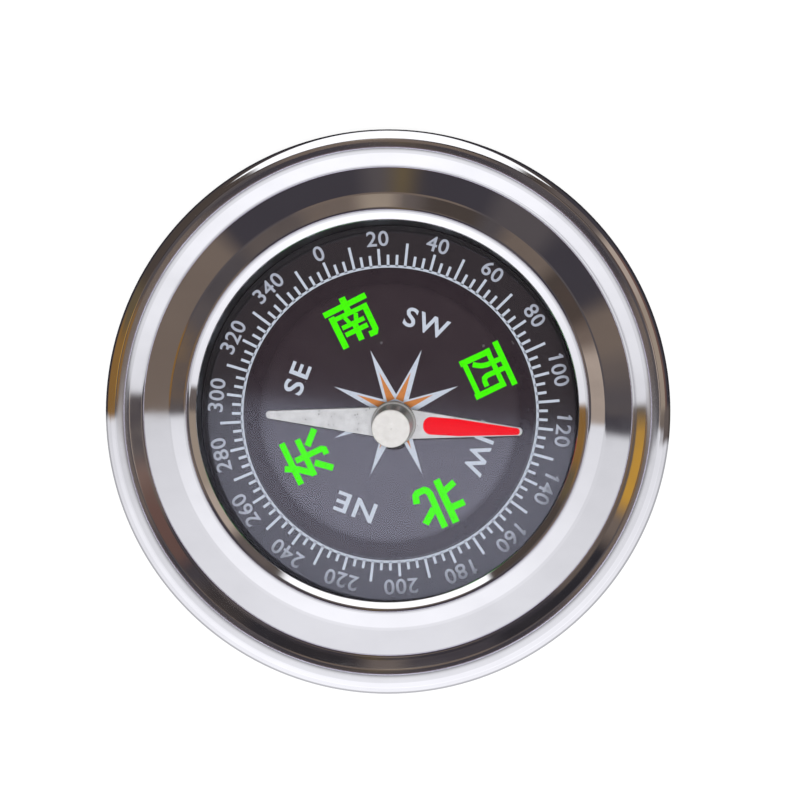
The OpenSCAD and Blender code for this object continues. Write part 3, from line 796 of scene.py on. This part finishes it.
plated, tree, shader, place = finish("needle_steel_look", (0.85, 0.84, 0.85), 0.42, metallic=0.5)
fresh_plate, dull_plate, pit_colour = (0.85, 0.83, 0.85), (0.72, 0.7, 0.72), (0.35, 0.34, 0.34)
pits = linked(tree, "ShaderNodeTexVoronoi", {"Vector": place, "Scale": 2600, "Randomness": 1}).outputs
patchy = noise(tree, place, 900, 4)
pit_size = ranged(tree, patchy, 0.0, 0.36, 0.47, 0.72)
pitted = maths(tree, "LESS_THAN", pits["Distance"], pit_size)
plate_colour = mixed(tree, ranged(tree, patchy, 0, 1, 0.35, 0.7), fresh_plate, dull_plate)
plate_colour = mixed(tree, pitted, plate_colour, pit_colour)
tree.links.new(plate_colour, shader.inputs["Base Color"])
tree.links.new(ranged(tree, patchy, 0.36, 0.5), shader.inputs["Roughness"])
bumped(tree, shader, noise(tree, place, 4000, 3), 0.35, 0.012 * mm)
blade.data.materials.append(plated)
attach(blade, "needle")
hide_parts("needle_blade")

# Thick red paint lies on the north half of the needle as a low pad with round edges. It stops short
# of the blade's edges, so that a silver margin shows.
paint_t, paint_edge_round = 0.1 * mm, 0.07 * mm
# In millimetres from the pin: half the painted width, and the rounding at either end
paint_half_widths = [(3.96, 1.22), (8.8, 1.15), (13, 0.77), (16.95, 0.43)]
paint_end_rounds = [(3.96, 1.1), (16.95, 0.36)]
paint_mesh = bmesh.new()
paint_edge = [(x * mm, half * mm, 0) for x, half in paint_half_widths]
paint_edge += [(x, -half, 0) for x, half, _ in paint_edge[::-1]]
outline = [paint_mesh.verts.new(corner) for corner in paint_edge]
paint_mesh.faces.new(outline[::-1])
for end, rounding in paint_end_rounds:
    corners = [v for v in paint_mesh.verts if abs(v.co.x - end * mm) < 0.01 * mm]
    bmesh.ops.bevel(paint_mesh, geom=corners, offset=rounding * mm, offset_type="OFFSET", segments=6,
                    profile=0.5, affect="VERTICES", material=-1)
raised(paint_mesh, paint_mesh.faces[:], paint_t)
bmesh.ops.recalc_face_normals(paint_mesh, faces=paint_mesh.faces)
top_rim = [e for e in paint_mesh.edges if all(v.co.z > paint_t / 2 for v in e.verts)]
bmesh.ops.bevel(paint_mesh, geom=top_rim, offset=paint_edge_round, offset_type="OFFSET", segments=3,
                profile=0.5, affect="EDGES", material=-1)
on_blade = on_point @ Matrix.Translation((0, 0, blade_top))
bmesh.ops.transform(paint_mesh, matrix=on_blade, verts=paint_mesh.verts)
paint = finished("north_paint", paint_mesh)
red, tree, shader, place = finish("red_paint_look", (0.9, 0.001, 0.008), 0.4, Specular_IOR_Level=0.03)
tree.links.new(ranged(tree, noise(tree, place, 500, 3), 0.3, 0.45), shader.inputs["Roughness"])
bumped(tree, shader, noise(tree, place, 700, 2), 0.3, 0.02 * mm)
paint.data.materials.append(red)
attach(paint, "needle")

# The cap is turned in one piece and nickel plated: a flange on the needle, a slightly tapered body
# and a flat top with the lathe's centre mark. Its spigot is riveted over under the needle.
bore_r, bore_end_z, spigot_r, spigot_z = 1.354 * mm, 0.8 * mm, 1.854 * mm, -3.2 * mm
cap_flange_r, cap_flange_z, cap_neck_r = 3 * mm, blade_top + 0.5 * mm, 2.7 * mm
cap_top_r, cap_top_z, side_end_z = 2.575 * mm, 2.2 * mm, 2.1 * mm
mark_r, mark_z = 0.15 * mm, 2.08 * mm
cap_corners = [
    (0, bore_end_z, 0),
    (bore_r, bore_end_z, 0),
    (bore_r, spigot_z, 0),
    (spigot_r, spigot_z, 0.08 * mm),
    (spigot_r, blade_top, 0),
    (cap_flange_r, blade_top, 0),
    (cap_flange_r, cap_flange_z, 0.12 * mm),
    (cap_neck_r, cap_flange_z, 0.05 * mm),
    (cap_top_r, cap_top_z, 0.15 * mm),
    (mark_r, cap_top_z, 0.05 * mm),
    (0, mark_z, 0),
]
cap = turned("cap", cap_corners, closed=False, turns=96, bend_step=15)
cap.data.transform(on_point)
cap.data.update()
nickel, tree, shader, place = finish("cap_nickel_look", (0.93, 0.88, 0.86), 0.36, metallic=0.5)
# The lathe's marks lean with the cap
upright = lean.inverted().to_euler()
own = linked(tree, "ShaderNodeMapping", {"Vector": place, "Location": -pin_tip}).outputs[0]
own = linked(tree, "ShaderNodeMapping", {"Vector": own, "Rotation": upright}).outputs[0]
rings = noise(tree, ringed(tree, own), 4200, 2)
cloudy = noise(tree, own, 900, 4)
# Top and side are one nickel plating. The side is painted dark grey as painted shade, and the top pale as
# painted light, because the top faces the lamp and the side turns away.
bright_top, dull_top, side_painted_shade = (0.98, 0.93, 0.9), (0.88, 0.83, 0.8), (0.46, 0.44, 0.43)
top_colour = mixed(tree, ranged(tree, cloudy, 0, 1, 0.35, 0.7), bright_top, dull_top)
own_height = linked(tree, "ShaderNodeSeparateXYZ", {0: own}).outputs[2]
top_free_of_side_shade = step_up(tree, own_height, side_end_z, 0.05 * mm)
tree.links.new(mixed(tree, top_free_of_side_shade, side_painted_shade, top_colour), shader.inputs["Base Color"])
tree.links.new(ranged(tree, cloudy, 0.3, 0.42), shader.inputs["Roughness"])
bumped(tree, shader, rings, 0.5, 0.02 * mm)
cap.data.materials.append(nickel)
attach(cap, "needle")
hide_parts("needle_cap")

# The jewel in the cap's bore is a red synthetic ruby with a conical cup, in which the pin's point
# stands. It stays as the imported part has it.
jewel, tree, shader, place = finish("jewel_look", (0.6, 0.02, 0.06), 0.05, Transmission_Weight=0.6,
                                    IOR=1.76)
tree.links.new(ranged(tree, noise(tree, place, 2000, 2), 0.03, 0.08), shader.inputs["Roughness"])
nodes["cap_jewel"].data.materials[0] = jewel
